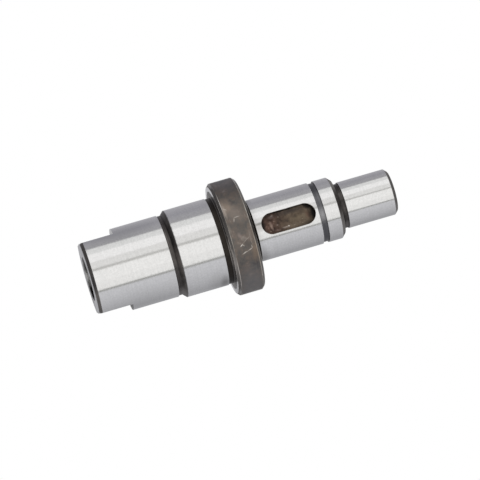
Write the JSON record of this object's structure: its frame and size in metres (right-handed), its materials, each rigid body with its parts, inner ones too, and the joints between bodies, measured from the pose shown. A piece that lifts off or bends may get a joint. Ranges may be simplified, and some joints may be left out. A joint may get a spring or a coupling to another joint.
{
  "type": "stepped drive shaft",
  "caption": "Turned steel shaft with ground seats, a black flange, relief grooves, a ring groove, a closed keyway and a blind bore with flats at its wide end.",
  "frame": {"origin": "centre of the face of the bored end, on which the shaft stands", "axes": "+Z along the shaft's axis from the bored end to the small end; the keyway opens towards -Y"},
  "size_m": [0.044, 0.044, 0.1205],
  "materials": {
    "ground_steel": "ground bright on the seats, left black from hardening on the flange, in the grooves and on the chamfers"
  },
  "bodies": {
    "root": {"stepped_shaft": "ground_steel"}
  },
  "joints": []
}
